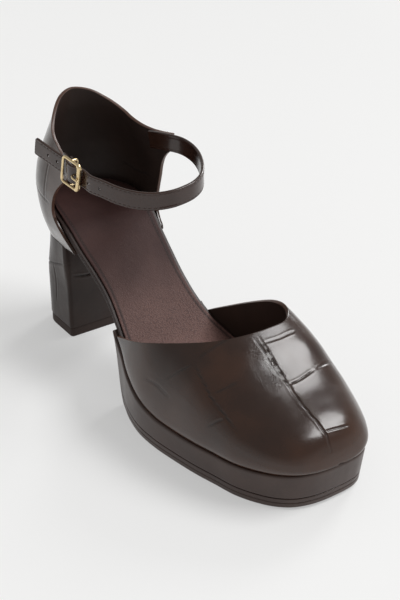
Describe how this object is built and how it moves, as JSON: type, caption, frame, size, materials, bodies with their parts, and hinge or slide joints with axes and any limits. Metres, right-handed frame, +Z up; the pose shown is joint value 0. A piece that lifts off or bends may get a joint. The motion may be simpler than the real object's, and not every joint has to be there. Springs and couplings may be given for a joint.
{
  "type": "platform shoe",
  "caption": "Platform shoe with a square closed toe, an open waist, a closed heel cup, a block heel and a buckled ankle strap.",
  "frame": {"origin": "middle of the bounding box's footprint, on the floor", "axes": "+X to the toe, +Y to the inner (medial) side of this right shoe, +Z up"},
  "size_m": [0.2512, 0.0902, 0.1449],
  "materials": {
    "upper_leather": "glossy, embossed scale pattern, dark brown",
    "platform_wrap": "satin, dark brown leather wrapped round the platform",
    "heel_cover": "glossy, embossed, dark brown leather wrapped round the heel",
    "board_cover": "satin, dark brown, covered insole edge",
    "sock": "satin, burgundy brown, fine pebbled grain",
    "strap_leather": "glossy, dark brown, stitched along both edges",
    "outsole_rubber": "matte, dark brown",
    "heel_tip_rubber": "matte, dark brown",
    "buckle_brass": "polished, pale gold"
  },
  "bodies": {
    "root": {"outsole": "outsole_rubber", "platform": "platform_wrap", "waist_sole": "outsole_rubber", "heel_block": "heel_cover", "heel_tip": "heel_tip_rubber", "insole_board": "board_cover", "sock_lining": "sock", "vamp": "upper_leather", "heel_cup": "upper_leather", "ankle_strap": "strap_leather", "buckle_tab": "strap_leather", "buckle_frame": "buckle_brass", "buckle_prong": "buckle_brass"}
  },
  "joints": []
}
